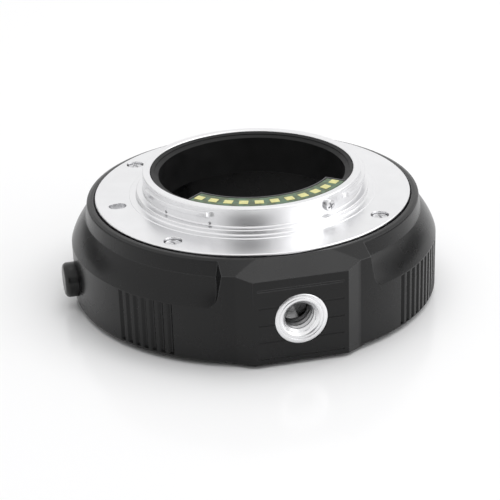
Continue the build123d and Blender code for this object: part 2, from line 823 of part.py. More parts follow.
pin_low = block_bottom - contact_reach
for number, angle in enumerate(contact_angles, start=1):
    with BuildPart() as contact_pin:
        with BuildSketch(Plane(origin=on_ring(contact_ring, angle, 0), x_dir=(1, 0, 0), z_dir=(0, -1, 0))):
            with BuildLine():
                Polyline(
                    (0, pin_low),
                    (0, pin_head + contact_head_height),
                    (contact_head, pin_head + contact_head_height),
                    (contact_head, pin_head),
                    (contact_radius, pin_head),
                    (contact_radius, pin_low + contact_tip),
                    (contact_radius - contact_tip, pin_low),
                    close=True,
                )
            make_face()
        revolve(axis=Axis(on_ring(contact_ring, angle, 0), (0, 0, 1)))
    finish(contact_pin, f"contact_pin_{number}")

finger_foot = block_top - finger_thickness / 2
finger_touch = pin_head + contact_head_height + finger_thickness
with BuildPart() as contact_springs:
    for angle in contact_angles:
        with BuildSketch(radial_plane(angle).offset(-finger_width / 2)) as finger:
            with BuildLine():
                Polyline(
                    (block_outer - block_wall - running_gap, finger_foot),
                    (contact_ring + contact_head, finger_foot),
                    (contact_ring, finger_touch),
                    (contact_ring - contact_head, finger_touch + contact_head / 2),
                )
            trace(line_width=finger_thickness)
        extrude(finger.sketch, amount=finger_width)
finish(contact_springs, "contact_springs")

with BuildPart() as pin_board:
    arc_block(block_inner, block_outer, block_top, block_top + pin_board_thickness, down, block_span)
finish(pin_board, "pin_board")

with BuildPart() as flex_cable:
    with BuildSketch(radial_plane(down - flex_span / 2)):
        with BuildLine():
            low_run = block_top + pin_board_thickness + flex_thickness / 2
            high_run = holder_top - flex_thickness / 2
            Polyline(
                (block_outer - block_wall, low_run),
                (flex_ring, low_run),
                (flex_ring, high_run),
                (hollow_inner + block_wall, high_run),
            )
        trace(line_width=flex_thickness)
    revolve(axis=Axis.Z, revolution_arc=flex_span)
finish(flex_cable, "flex_cable")
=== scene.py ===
"""Looks for the lens mount adapter: finishes on the CAD pieces, fine detail pieces, camera and stage."""
import json
from math import atan2, ceil, cos, pi, radians, sin

import bpy
from mathutils import Matrix, Vector

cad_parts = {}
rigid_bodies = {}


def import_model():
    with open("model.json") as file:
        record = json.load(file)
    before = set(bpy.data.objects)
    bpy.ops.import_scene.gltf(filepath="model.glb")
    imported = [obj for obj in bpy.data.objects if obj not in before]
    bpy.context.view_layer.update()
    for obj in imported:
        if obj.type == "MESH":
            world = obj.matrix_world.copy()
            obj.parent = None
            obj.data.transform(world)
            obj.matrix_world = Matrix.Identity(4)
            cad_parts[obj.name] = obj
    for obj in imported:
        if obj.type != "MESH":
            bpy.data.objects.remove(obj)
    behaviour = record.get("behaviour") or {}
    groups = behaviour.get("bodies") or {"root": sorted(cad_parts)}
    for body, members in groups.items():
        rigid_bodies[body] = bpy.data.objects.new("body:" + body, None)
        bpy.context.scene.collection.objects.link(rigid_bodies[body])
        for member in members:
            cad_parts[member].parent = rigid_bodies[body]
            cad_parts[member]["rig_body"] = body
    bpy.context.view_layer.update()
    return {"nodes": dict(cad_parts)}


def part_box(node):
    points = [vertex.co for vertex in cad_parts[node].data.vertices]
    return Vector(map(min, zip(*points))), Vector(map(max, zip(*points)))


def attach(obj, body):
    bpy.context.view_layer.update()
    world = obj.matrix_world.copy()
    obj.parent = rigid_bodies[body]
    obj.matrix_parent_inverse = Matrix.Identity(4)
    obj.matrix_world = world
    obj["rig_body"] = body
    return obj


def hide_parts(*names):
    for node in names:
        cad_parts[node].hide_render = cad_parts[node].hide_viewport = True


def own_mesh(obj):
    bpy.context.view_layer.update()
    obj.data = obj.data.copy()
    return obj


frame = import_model()

bl_info = {
    "name": "Lens mount adapter looks",
    "version": (1, 0, 0),
    "blender": (4, 5, 0),
    "location": "View3D > Sidebar > Adapter",
    "description": "Finishes, fine detail pieces and stage for the lens mount adapter",
    "category": "Object",
}

MM = 0.001
NODES = frame["nodes"]

# Camera at the photograph's viewing angle
CAMERA_PLACE = Vector((-63.04, -269.55, 133.99)) * MM
CAMERA_RIGHT = Vector((0.97076, -0.23816, -0.02975))
CAMERA_UP = Vector((0.12586, 0.39956, 0.90802))
CAMERA_BACK = Vector((-0.20437, -0.88523, 0.41786))
CAMERA_LENS = 114.36
CAMERA_SENSOR = 36.0
CAMERA_CLIP = (0.01, 20.0)

# The table lies this far under the mount that the adapter stands on
TABLE_GAP = 0.02 * MM

# Soft boxes: name, place, width, height, power, and whether glossy surfaces mirror the box
LAMP_TARGET = (0, 0, 0.01)
LAMPS = (
    ("top_box", (0.10, 0.08, 0.72), 1.05, 0.95, 3.3, False),
    ("small_box", (0.174, 0.137, 0.72), 0.24, 0.24, 0.29, True),
    ("front_box", (0.50, -0.46, 0.32), 0.55, 0.45, 0.95, True),
    ("right_box", (0.55, -0.05, 0.60), 0.5, 0.5, 1.0, True),
)

# Cards: name, place, width, height, grey
CARDS = (
    ("camera_card", (-0.20, -0.617, 0.21), 0.47, 0.44, 0.04),
    ("front_card", (0.10, -0.55, 0.035), 0.42, 0.08, 0.04),
    ("left_card", (-0.41, 0.44, 0.11), 0.50, 0.18, 0.30),
    ("right_card", (0.60, 0.07, 0.11), 0.46, 0.18, 0.30),
)

# Table: its size, its gloss near the adapter, the shares of white added further off, and the distances from
# the optical axis over which each of them comes or goes
TABLE_SIZE = 4.0
TABLE_GLOSS = 0.28
GLOSS_FADE = (45 * MM, 100 * MM)
# The near share is a painted glow that lightens the table's shadow round the adapter
NEAR_GLOW_SHARE = 0.22
NEAR_GLOW_FADE = (35 * MM, 50 * MM)
FAR_SHARE = 0.78
FAR_WHITE = (110 * MM, 330 * MM)

# White of the background, and the strength of the surround where it lights the object
WHITE = (1, 1, 1, 1)
WORLD_FILL = 0.56

# Facet right of the tripod pad: where it faces, how far its shading turns, how closely a normal has to match,
# and where along X the turn fades out
FACET_FACING = (0.524, -0.852, 0.0)
FACET_TURN = (0.17, 0.105, 0.0)
FACET_MATCH = (0.985, 0.995)
FACET_FADE = (11.3 * MM, 10.5 * MM)

# Range of most noise values, samples of a rounded normal, and how far that normal still matches the plain one
# where an edge is fully lighter, from rubbed paint and a painted highlight
NOISE_RANGE = (0.3, 0.7)
BEVEL_SAMPLES = 6
WEAR_AND_HIGHLIGHT_MATCH = 0.80

# Tiny rounds on the edges of small metal pieces and of inner mouldings
METAL_EDGE = 0.06 * MM
MOULDED_EDGE = 0.1 * MM

# Grey of the upper edges, partly rubbed paint and partly a painted highlight, and the heights over which it
# sets in
RUBBED_AND_HIGHLIGHT_GREY = (0.075, 0.075, 0.077, 1.0)
RUBBED_AND_HIGHLIGHT_RISE = (11 * MM, 15 * MM)

# Depths under the bush's face over which its bore is painted darker as shade, and the share of its colour
# that is left
BORE_SHADE_DEPTHS = (0.9 * MM, 4.2 * MM)
BORE_SHADE_SHARE = 0.36

# How finely the detail pieces are divided
SCREW_SECTORS = 72
SCREW_RINGS = 30
SCREW_EDGE_STEPS = 5
BUSH_SECTORS = 128
THREAD_STEPS = 14
WIRE_STEPS = 36
WIRE_SIDES = 10
CORNER_STEPS = 6
LIP_STEPS = 72
TIP_STEPS = 8
PIN_SECTORS = 40
DOME_STEPS = 6
RIVET_SECTORS = 32

# Screws: name, CAD node, head height (0 for a flat head), shank radius, length, where the heads face (None
# for outwards), and the turn of the first one
SCREWS = (
    ("mount_screws", "camera_mount_screws", 0.9 * MM, 0.85 * MM, 6.0 * MM, (0, 0, 1), 0.5),
    ("stop_pin_screw", "stop_screw", 0.8 * MM, 0.55 * MM, 1.3 * MM, None, 0.4),
    ("lens_ring_screws", "lens_mount_screws", 0.0, 0.85 * MM, 4.9 * MM, (0, 0, -1), 0.0),
    ("holder_pan_screws", "holder_screws", 0.7 * MM, 0.6 * MM, 4.0 * MM, (0, 0, -1), 0.0),
    ("pin_block_pan_screws", "pin_block_screws", 0.7 * MM, 0.6 * MM, 4.0 * MM, (0, 0, -1), 0.0),
)

# Screw heads: round edge and cross as shares of the radius, the cross's slope as a share of its width, how
# much shallower it is at its ends, the crown as a share of the height, and the turn from screw to screw
SCREW_EDGE = 0.14
CROSS_REACH = 0.58
CROSS_SLOPE = 0.2
CROSS_RISE = 0.45
SCREW_CROWN = 0.25
SCREW_TWIST = 1.3

# Lip round the contact board: its gap to the board, how far it covers the holder's wall, and its soft edge
LIP_CLEAR = 0.16 * MM
LIP_PROUD = 0.01 * MM
LIP_SOFT = 0.05 * MM


def colour_property(name, description, default):
    """Property for the colour of a finish."""
    return bpy.props.FloatVectorProperty(
        name=name, description=description, subtype="COLOR", size=3, min=0.0, max=1.0, default=default
    )


def length_property(name, description, default, **limits):
    """Property for a length in metres."""
    return bpy.props.FloatProperty(
        name=name, description=description, unit="LENGTH", default=default, **limits
    )


class AdapterFinishes(bpy.types.PropertyGroup):
    """Colours and surface sizes of the adapter's finishes."""

    barrel_black: colour_property(
        "Barrel black", "Colour of the satin paint on the barrel", (0.0035, 0.0035, 0.0037)
    )
    button_black: colour_property(
        "Button black", "Colour of the moulded release button", (0.004, 0.004, 0.0042)
    )
    alloy: colour_property(
        "Mount metal", "Colour of the turned bayonet mounts and the tripod bush", (0.84, 0.84, 0.85)
    )
    steel: colour_property(
        "Steel", "Colour of screws, springs and the lock pin", (0.62, 0.62, 0.63)
    )
    gold: colour_property(
        "Contact gold", "Colour of the plated contacts", (0.80, 0.76, 0.34)
    )
    board_green: colour_property(
        "Board green", "Colour of the lacquer on the contact board", (0.06, 0.115, 0.062)
    )
    plastic_black: colour_property(
        "Inner black", "Colour of the matt light baffle, contact holder and pin block",
        (0.0048, 0.0048, 0.005),
    )
    slide_grey: colour_property(
        "Slide grey", "Colour of the moulded release slide", (0.10, 0.10, 0.105)
    )
    film_amber: colour_property(
        "Cable film", "Colour of the flat cable's film", (0.30, 0.13, 0.03)
    )
    floor_white: colour_property(
        "Floor white", "Colour of the table", (0.92, 0.92, 0.925)
    )
    grain: length_property(
        "Paint grain", "Size of the grain in the barrel's paint",
        0.16 * MM, min=0.02 * MM,
    )
    turning: length_property(
        "Turning pitch", "Distance between the fine rings that the lathe left on the mounts",
        0.22 * MM, min=0.02 * MM,
    )
    edge_round: length_property(
        "Edge round", "Radius of the tiny round that painted and turned edges show",
        0.18 * MM, min=0.0,
    )


class AdapterSizes(bpy.types.PropertyGroup):
    """Sizes of the fine detail pieces."""

    cross_width: length_property(
        "Cross width", "Width of the arms of a screw's cross recess",
        0.28 * MM, min=0.05 * MM,
    )
    cross_depth: length_property(
        "Cross depth", "Depth of a screw's cross recess at its centre",
        0.62 * MM, min=0.0,
    )
    thread_pitch: length_property(
        "Thread pitch", "Rise of the tripod thread in one turn",
        1.27 * MM, min=0.2 * MM,
    )
    thread_depth: length_property(
        "Thread depth", "How far the tripod thread is cut into the bush",
        0.55 * MM, min=0.0,
    )
    pad_corner: length_property(
        "Pad corner", "Corner radius of the contact pads",
        0.16 * MM, min=0.0,
    )
    pad_etch: length_property(
        "Pad etch", "How much narrower than its outline each contact pad was etched",
        0.12 * MM, min=0.0, max=0.5 * MM,
    )
    button_turns: bpy.props.FloatProperty(
        name="Button spring turns",
        description="Working turns of the spring under the button",
        default=4.5,
        min=1.0,
    )
    pin_turns: bpy.props.FloatProperty(
        name="Pin spring turns",
        description="Working turns of the spring over the lock pin",
        default=8.0,
        min=1.0,
    )


def finishes():
    return bpy.context.scene.adapter_finishes


def sizes():
    return bpy.context.scene.adapter_sizes


# Node helpers


def start_material(name, colour, metallic, roughness):
    """New material with its shader's plain values set, and its tree and shader."""
    material = bpy.data.materials.new(name)
    material.use_nodes = True
    material.diffuse_color = (*colour, 1.0)
    tree = material.node_tree
    shader = tree.nodes["Principled BSDF"]
    shader.inputs["Base Color"].default_value = (*colour, 1.0)
    shader.inputs["Metallic"].default_value = metallic
    shader.inputs["Roughness"].default_value = roughness
    return material, tree, shader


def add_node(tree, kind, inputs=None, **settings):
    node = tree.nodes.new(kind)
    for key, value in settings.items():
        setattr(node, key, value)
    for key, value in (inputs or {}).items():
        node.inputs[key].default_value = value
    return node


def feed_shader(tree, shader, colour, roughness, normal):
    """Links what drives the shader's colour, roughness and normal; None leaves a plain value."""
    for key, output in (("Base Color", colour), ("Roughness", roughness), ("Normal", normal)):
        if output is not None:
            tree.links.new(output, shader.inputs[key])


def combine(tree, operation, one, two, **settings):
    """Two values put together by a Math node."""
    node = add_node(tree, "ShaderNodeMath", operation=operation, **settings)
    tree.links.new(one, node.inputs[0])
    tree.links.new(two, node.inputs[1])
    return node.outputs[0]


def map_range(tree, value, source, result=(0.0, 1.0)):
    """Maps the value from the source range to the result range, and keeps it inside."""
    node = add_node(
        tree,
        "ShaderNodeMapRange",
        {"From Min": source[0], "From Max": source[1], "To Min": result[0], "To Max": result[1]},
    )
    tree.links.new(value, node.inputs["Value"])
    return node.outputs["Result"]


def mix_shaders(tree, share, one, two):
    """Shader that goes from the first one to the second with the share."""
    node = add_node(tree, "ShaderNodeMixShader")
    tree.links.new(share, node.inputs["Fac"])
    tree.links.new(one.outputs[0], node.inputs[1])
    tree.links.new(two.outputs[0], node.inputs[2])
    return node


def object_place(tree):
    """Place on the piece in the frame's own coordinates, in metres."""
    return add_node(tree, "ShaderNodeTexCoord").outputs["Object"]


def axis_distance(tree, place, across=(1, 1, 0), centre=(0, 0, 0)):
    """Distance from the axis through the centre; across has a 0 for the axis that it runs along."""
    moved = add_node(tree, "ShaderNodeVectorMath", {1: centre}, operation="SUBTRACT")
    flat = add_node(tree, "ShaderNodeVectorMath", {1: across}, operation="MULTIPLY")
    length = add_node(tree, "ShaderNodeVectorMath", operation="LENGTH")
    tree.links.new(place, moved.inputs[0])
    tree.links.new(moved.outputs[0], flat.inputs[0])
    tree.links.new(flat.outputs[0], length.inputs[0])
    return length.outputs["Value"]


def noise(tree, place, size, detail=2.0, roughness=0.5):
    """Noise whose blobs are about this size, in metres."""
    texture = add_node(
        tree,
        "ShaderNodeTexNoise",
        {"Scale": 1 / size, "Detail": detail, "Roughness": roughness},
    )
    tree.links.new(place, texture.inputs["Vector"])
    return texture.outputs["Fac"]


def rings(tree, distance, pitch, detail=3.0):
    """Noise that runs in rings round the optical axis."""
    texture = add_node(
        tree,
        "ShaderNodeTexNoise",
        {"Scale": 1 / pitch, "Detail": detail, "Roughness": 0.6},
        noise_dimensions="1D",
    )
    tree.links.new(distance, texture.inputs["W"])
    return texture.outputs["Fac"]


def spread(tree, value, low, high):
    """Maps a noise value round one half to the range from low to high."""
    return map_range(tree, value, NOISE_RANGE, (low, high))


def shade(tree, value, dark, light, low=0.35, high=0.65):
    """Colour that runs from dark to light with the value."""
    ramp = add_node(tree, "ShaderNodeValToRGB")
    ramp.color_ramp.elements[0].position = low
    ramp.color_ramp.elements[0].color = (*dark, 1.0)
    ramp.color_ramp.elements[1].position = high
    ramp.color_ramp.elements[1].color = (*light, 1.0)
    tree.links.new(value, ramp.inputs["Fac"])
    return ramp.outputs["Color"]


def scaled(colour, share):
    return tuple(min(1.0, channel * share) for channel in colour)


def round_edges(tree, radius):
    """Normal that is rounded over sharp edges."""
    node = add_node(tree, "ShaderNodeBevel", {"Radius": radius}, samples=BEVEL_SAMPLES)
    return node.outputs["Normal"]


def bump(tree, height, depth, strength, normal=None):
    node = add_node(tree, "ShaderNodeBump", {"Strength": strength, "Distance": depth})
    tree.links.new(height, node.inputs["Height"])
    if normal is not None:
        tree.links.new(normal, node.inputs["Normal"])
    return node.outputs["Normal"]


def edge_wear_and_highlight(tree, radius):
    """About 0 on flat places and up to 1 where the surface turns over an edge."""
    plain = add_node(tree, "ShaderNodeNewGeometry")
    match = add_node(tree, "ShaderNodeVectorMath", operation="DOT_PRODUCT")
    tree.links.new(round_edges(tree, radius), match.inputs[0])
    tree.links.new(plain.outputs["Normal"], match.inputs[1])
    return map_range(tree, match.outputs["Value"], (1.0, WEAR_AND_HIGHLIGHT_MATCH))


def share_along(tree, place, axis, low, high):
    """0 below the low place on this axis and 1 above the high one."""
    split = add_node(tree, "ShaderNodeSeparateXYZ")
    tree.links.new(place, split.inputs[0])
    return map_range(tree, split.outputs[axis], (low, high))


def flatness(tree):
    """1 on faces across the optical axis and 0 on walls along it."""
    plain = add_node(tree, "ShaderNodeNewGeometry")
    split = add_node(tree, "ShaderNodeSeparateXYZ")
    size = add_node(tree, "ShaderNodeMath", operation="ABSOLUTE")
    tree.links.new(plain.outputs["Normal"], split.inputs[0])
    tree.links.new(split.outputs["Z"], size.inputs[0])
    return size.outputs[0]


def facet_turn(tree, place, normal):
    """Normal turned on the facet right of the tripod pad, which seems to face further round than its mesh."""
    plain = add_node(tree, "ShaderNodeNewGeometry")
    match = add_node(tree, "ShaderNodeVectorMath", {1: FACET_FACING}, operation="DOT_PRODUCT")
    turn = add_node(tree, "ShaderNodeVectorMath", {0: FACET_TURN}, operation="SCALE")
    sum_up = add_node(tree, "ShaderNodeVectorMath", operation="ADD")
    unit = add_node(tree, "ShaderNodeVectorMath", operation="NORMALIZE")
    tree.links.new(plain.outputs["Normal"], match.inputs[0])
    near = map_range(tree, match.outputs["Value"], FACET_MATCH)
    inside = share_along(tree, place, "X", *FACET_FADE)
    tree.links.new(combine(tree, "MULTIPLY", near, inside), turn.inputs["Scale"])
    tree.links.new(normal, sum_up.inputs[0])
    tree.links.new(turn.outputs[0], sum_up.inputs[1])
    tree.links.new(sum_up.outputs[0], unit.inputs[0])
    return unit.outputs[0]


# Finishes


def barrel_paint():
    """Satin black paint with a fine grain; its upper edges are lighter grey, partly rubbed paint and partly a
    painted highlight.
    """
    colour = finishes().barrel_black
    material, tree, shader = start_material("satin_black_paint", colour, metallic=0.0, roughness=0.27)
    shader.inputs["Specular IOR Level"].default_value = 0.32
    place = object_place(tree)
    cloud = noise(tree, place, size=6 * MM, detail=4.0)
    grain = noise(tree, place, size=finishes().grain)
    paint = shade(tree, cloud, dark=scaled(colour, 0.85), light=scaled(colour, 1.2))
    # Upper edges turn lighter grey: partly rubbed paint, partly a painted highlight where they catch the
    # light
    wear_and_highlight = edge_wear_and_highlight(tree, 1.5 * finishes().edge_round)
    worn_and_highlit = combine(tree, "MULTIPLY", wear_and_highlight, share_along(tree, place, "Z", *RUBBED_AND_HIGHLIGHT_RISE))
    rubbed_and_highlit = add_node(tree, "ShaderNodeMix", {"B": RUBBED_AND_HIGHLIGHT_GREY}, data_type="RGBA")
    tree.links.new(worn_and_highlit, rubbed_and_highlit.inputs["Factor"])
    tree.links.new(paint, rubbed_and_highlit.inputs["A"])
    sheen = spread(tree, cloud, low=0.24, high=0.30)
    soft = round_edges(tree, finishes().edge_round)
    grained = bump(tree, grain, depth=0.01 * MM, strength=0.35, normal=soft)
    feed_shader(tree, shader, rubbed_and_highlit.outputs["Result"], sheen, facet_turn(tree, place, grained))
    return material


def button_moulding():
    """Moulded black button with a slightly coarser grain than the paint."""
    colour = finishes().button_black
    material, tree, shader = start_material("satin_button_black", colour, metallic=0.0, roughness=0.3)
    shader.inputs["Specular IOR Level"].default_value = 0.42
    place = object_place(tree)
    cloud = noise(tree, place, size=2 * MM, detail=3.0)
    grain = noise(tree, place, size=1.6 * finishes().grain)
    tint = shade(tree, cloud, dark=scaled(colour, 0.9), light=scaled(colour, 1.15))
    sheen = spread(tree, cloud, low=0.27, high=0.33)
    soft = round_edges(tree, finishes().edge_round)
    feed_shader(tree, shader, tint, sheen, bump(tree, grain, depth=0.008 * MM, strength=0.3, normal=soft))
    return material


def turned_metal(name, colour, roughness, anisotropy):
    """Bright metal with fine lathe rings round the optical axis, a little rougher on faces across it."""
    flat_extra, ring_uneven = 0.06, 0.03
    material, tree, shader = start_material(name, colour, metallic=1.0, roughness=roughness)
    place = object_place(tree)
    fine = rings(tree, axis_distance(tree, place), finishes().turning)
    cloud = noise(tree, place, size=4 * MM, detail=3.0)
    tint = shade(tree, cloud, dark=scaled(colour, 0.985), light=scaled(colour, 1.01))
    facing = map_range(tree, flatness(tree), (0.0, 1.0), (roughness, roughness + flat_extra))
    sheen = combine(tree, "ADD", facing, spread(tree, fine, low=-ring_uneven, high=ring_uneven))
    soft = round_edges(tree, finishes().edge_round)
    feed_shader(tree, shader, tint, sheen, bump(tree, fine, depth=0.001 * MM, strength=0.3, normal=soft))
    shader.inputs["Anisotropic"].default_value = anisotropy
    tangent = add_node(tree, "ShaderNodeTangent", direction_type="RADIAL", axis="Z")
    tree.links.new(tangent.outputs["Tangent"], shader.inputs["Tangent"])
    return material


def bush_metal(colour, front, centre):
    """Turned bush: rings round its own axis on the face, and painted shade that darkens its bore with depth.
    """
    material, tree, shader = start_material("turned_bush_metal_painted_bore_shade", colour, metallic=1.0, roughness=0.28)
    place = object_place(tree)
    fine = rings(tree, axis_distance(tree, place, (1, 0, 1), centre), finishes().turning)
    # Painted shade: the bore's colour darkens with depth under the face
    depth = share_along(tree, place, "Y", *(front + below for below in BORE_SHADE_DEPTHS))
    tint = shade(tree, depth, colour, scaled(colour, BORE_SHADE_SHARE), low=0.0, high=1.0)
    sheen = spread(tree, fine, low=0.24, high=0.32)
    soft = round_edges(tree, METAL_EDGE)
    feed_shader(tree, shader, tint, sheen, bump(tree, fine, depth=0.001 * MM, strength=0.3, normal=soft))
    return material


def plain_metal(name, colour, roughness, mark):
    """Metal with small rolling and handling marks of the given size."""
    uneven = 0.06
    material, tree, shader = start_material(name, colour, metallic=1.0, roughness=roughness)
    cloud = noise(tree, object_place(tree), size=mark, detail=4.0)
    tint = shade(tree, cloud, dark=scaled(colour, 0.9), light=scaled(colour, 1.05))
    sheen = spread(tree, cloud, roughness - uneven, roughness + uneven)
    soft = round_edges(tree, METAL_EDGE)
    feed_shader(tree, shader, tint, sheen, bump(tree, cloud, depth=0.004 * MM, strength=0.3, normal=soft))
    return material


def matt_plastic(name, colour, roughness, specular=0.5):
    """Moulded plastic with a fine spark-eroded grain."""
    uneven = 0.05
    material, tree, shader = start_material(name, colour, metallic=0.0, roughness=roughness)
    shader.inputs["Specular IOR Level"].default_value = specular
    place = object_place(tree)
    grain = noise(tree, place, size=0.12 * MM, detail=3.0)
    cloud = noise(tree, place, size=3 * MM)
    tint = shade(tree, cloud, dark=scaled(colour, 0.85), light=scaled(colour, 1.2))
    sheen = spread(tree, cloud, roughness - uneven, roughness + uneven)
    soft = round_edges(tree, MOULDED_EDGE)
    feed_shader(tree, shader, tint, sheen, bump(tree, grain, depth=0.008 * MM, strength=0.4, normal=soft))
    return material


def board_lacquer():
    """Green board lacquer over copper runs that show as faint lighter bands."""
    colour = finishes().board_green
    material, tree, shader = start_material("green_board_lacquer", colour, metallic=0.0, roughness=0.35)
    place = object_place(tree)
    runs = noise(tree, place, size=1.1 * MM, detail=1.0)
    weave = noise(tree, place, size=0.2 * MM)
    bare = (0.9 * colour[0], 0.7 * colour[1], 0.5 * colour[2])
    tint = shade(tree, runs, dark=bare, light=scaled(colour, 1.25), low=0.42, high=0.56)
    sheen = spread(tree, weave, low=0.3, high=0.42)
    feed_shader(tree, shader, tint, sheen, bump(tree, runs, depth=0.02 * MM, strength=0.25))
    return material


def cable_film():
    """Amber cable film with copper tracks along it."""
    colour, copper = finishes().film_amber, (0.42, 0.20, 0.06)
    material, tree, shader = start_material("amber_cable_film", colour, metallic=0.0, roughness=0.3)
    wave = add_node(
        tree,
        "ShaderNodeTexWave",
        {"Scale": 160.0, "Distortion": 0.0},
        wave_type="BANDS",
        bands_direction="X",
    )
    tree.links.new(object_place(tree), wave.inputs["Vector"])
    tracks = wave.outputs["Fac"]
    tint = shade(tree, tracks, dark=colour, light=copper)
    feed_shader(tree, shader, tint, None, bump(tree, tracks, depth=0.02 * MM, strength=0.4))
    return material


# Mesh helpers


def lathe(profile, sectors, shape=None):
    """Points and faces of a piece turned about +Z from (radius, height) pairs; shape can move its points."""
    points, faces, loops = [], [], []
    for row, (radius, height) in enumerate(profile):
        loop = []
        count = 1 if radius == 0 else sectors
        for step in range(count):
            angle = 2 * pi * step / sectors
            r, h = (radius, height) if shape is None else shape(row, angle, radius, height)
            loop.append(len(points))
            points.append(Vector((r * cos(angle), r * sin(angle), h)))
        loops.append(loop)
    for one, two in zip(loops, loops[1:]):
        for step in range(sectors):
            a, b = one[step % len(one)], one[(step + 1) % len(one)]
            c, d = two[(step + 1) % len(two)], two[step % len(two)]
            faces.append([v for i, v in enumerate((a, b, c, d)) if v not in (a, b, c, d)[:i]])
    return points, faces


def quarter_turn(steps):
    """Angles that divide a quarter turn, without its start."""
    return [radians(90 * step / steps) for step in range(1, steps + 1)]


def tube_faces(count, sections):
    """Faces of a closed tube through sections of count points each, which run clockwise along it."""
    faces = []
    last = count * (sections - 1)
    for start in range(0, last, count):
        for step in range(count):
            a, b = start + step, start + (step + 1) % count
            faces.append([a, a + count, b + count, b])
    ends = list(range(count)), list(reversed(range(last, last + count)))
    return [*faces, *ends]


def place_at(origin, direction):
    """Matrix that takes local +Z to this direction at this point."""
    turn = Vector(direction).to_track_quat("Z", "Y").to_matrix().to_4x4()
    return Matrix.Translation(origin) @ turn


def join(parts):
    """One list of points and faces from several (matrix, points, faces)."""
    points, faces = [], []
    for matrix, part_points, part_faces in parts:
        start = len(points)
        points += [matrix @ p for p in part_points]
        faces += [[v + start for v in face] for face in part_faces]
    return points, faces


def make_piece(name, points, faces, body, material, crease=35):
    """New mesh piece that rides on a body, smooth apart from creases over this angle in degrees."""
    mesh = bpy.data.meshes.new(name)
    mesh.from_pydata([tuple(p) for p in points], [], faces)
    mesh.validate()
    mesh.polygons.foreach_set("use_smooth", [True] * len(mesh.polygons))
    mesh.set_sharp_from_angle(angle=radians(crease))
    mesh.materials.append(material)
    piece = bpy.data.objects.new(name, mesh)
    bpy.context.scene.collection.objects.link(piece)
    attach(piece, body)
    return piece


def body_of_node(name):
    return NODES[name]["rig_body"]


def solids_of(node):
    """The separate solids in a CAD node's mesh, each as (points, faces)."""
    mesh = NODES[node].data
    keys, merged = {}, []
    for vertex in mesh.vertices:
        key = tuple(round(c, 7) for c in vertex.co)
        merged.append(keys.setdefault(key, len(keys)))
    owner = list(range(len(keys)))

    def root(i):
        while owner[i] != i:
            owner[i] = owner[owner[i]]
            i = owner[i]
        return i

    for polygon in mesh.polygons:
        first = root(merged[polygon.vertices[0]])
        for v in polygon.vertices[1:]:
            owner[root(merged[v])] = first
    groups = {}
    for polygon in mesh.polygons:
        corners = [merged[v] for v in polygon.vertices]
        groups.setdefault(root(corners[0]), []).append(corners)
    places = [Vector(key) for key in keys]
    solids = []
    for group in groups.values():
        used = sorted({v for corners in group for v in corners})
        index = {v: i for i, v in enumerate(used)}
        solids.append(([places[v] for v in used], [[index[v] for v in corners] for corners in group]))
    return sorted(solids, key=lambda s: atan2(middle(s[0]).x, -middle(s[0]).y))


def corners_of(points):
    low = Vector(min(p[i] for p in points) for i in range(3))
    high = Vector(max(p[i] for p in points) for i in range(3))
    return low, high


def middle(points):
    low, high = corners_of(points)
    return (low + high) / 2


def finish_nodes(material, names):
    """Gives each of these CAD nodes the finish."""
    for name in names:
        mesh = NODES[name].data
        mesh.materials.clear()
        mesh.materials.append(material)


# Detail pieces


def cross_recess(x, y, reach):
    """How far a cross recess lowers a screw's top at this place."""
    half = sizes().cross_width / 2
    slope = CROSS_SLOPE * sizes().cross_width
    inside = max(
        min(half - abs(y), reach - abs(x)),
        min(half - abs(x), reach - abs(y)),
    )
    share = min(1.0, max(0.0, inside / slope + 0.5))
    away = min(1.0, (x * x + y * y) ** 0.5 / reach)
    return share * sizes().cross_depth * (1.0 - CROSS_RISE * away)


def screw(radius, height, shank, length):
    """Cross-head screw whose head stands on the plane z = 0, or lies flat under it when its height is 0."""
    round_edge = SCREW_EDGE * radius if height else 0.0
    edge_start = radius - round_edge
    crown = SCREW_CROWN * height
    profile = []
    for ring in range(SCREW_RINGS + 1):
        r = edge_start * ring / SCREW_RINGS
        profile.append((r, height - crown * (r / radius) ** 2))
    last = profile[-1][1]
    if height:
        for angle in quarter_turn(SCREW_EDGE_STEPS):
            profile.append((edge_start + round_edge * sin(angle), last - round_edge * (1 - cos(angle))))
        profile += [(radius, 0.0), (shank, 0.0)]
    else:
        profile += [(shank, -(radius - shank))]
    profile += [(shank, -length), (0.0, -length)]
    reach = CROSS_REACH * radius

    def shape(row, angle, r, h):
        if row <= SCREW_RINGS:
            h -= cross_recess(r * cos(angle), r * sin(angle), reach)
        return r, h

    points, faces = lathe(profile, SCREW_SECTORS, shape)
    return points, [face[::-1] for face in faces]


def screw_set(name, node, head_height, shank, length, direction, twist):
    """Detailed screws that stand for a CAD node's plain ones."""
    parts = []
    for points, _ in solids_of(node):
        low, high = corners_of(points)
        centre = (low + high) / 2
        facing = Vector(direction) if direction else Vector((centre.x, centre.y, 0)).normalized()
        if direction:
            radius = (high.x - low.x) / 2
            reach = high.z if facing.z > 0 else -low.z
            seat = Vector((centre.x, centre.y, facing.z * reach)) - facing * head_height
        else:
            radius = (high.z - low.z) / 2
            reach = max(p.dot(facing) for p in points)
            seat = Vector((0, 0, centre.z)) + facing * (reach - head_height)
        turn = Matrix.Rotation(twist + SCREW_TWIST * len(parts), 4, "Z")
        parts.append((place_at(seat, facing) @ turn, *screw(radius, head_height, shank, length)))
    points, faces = join(parts)
    bright = scaled(finishes().steel, 1.15)
    steel = plain_metal(f"{name}_steel", bright, roughness=0.3, mark=0.5 * MM)
    piece = make_piece(name, points, faces, body_of_node(node), steel, crease=40)
    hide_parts(node)


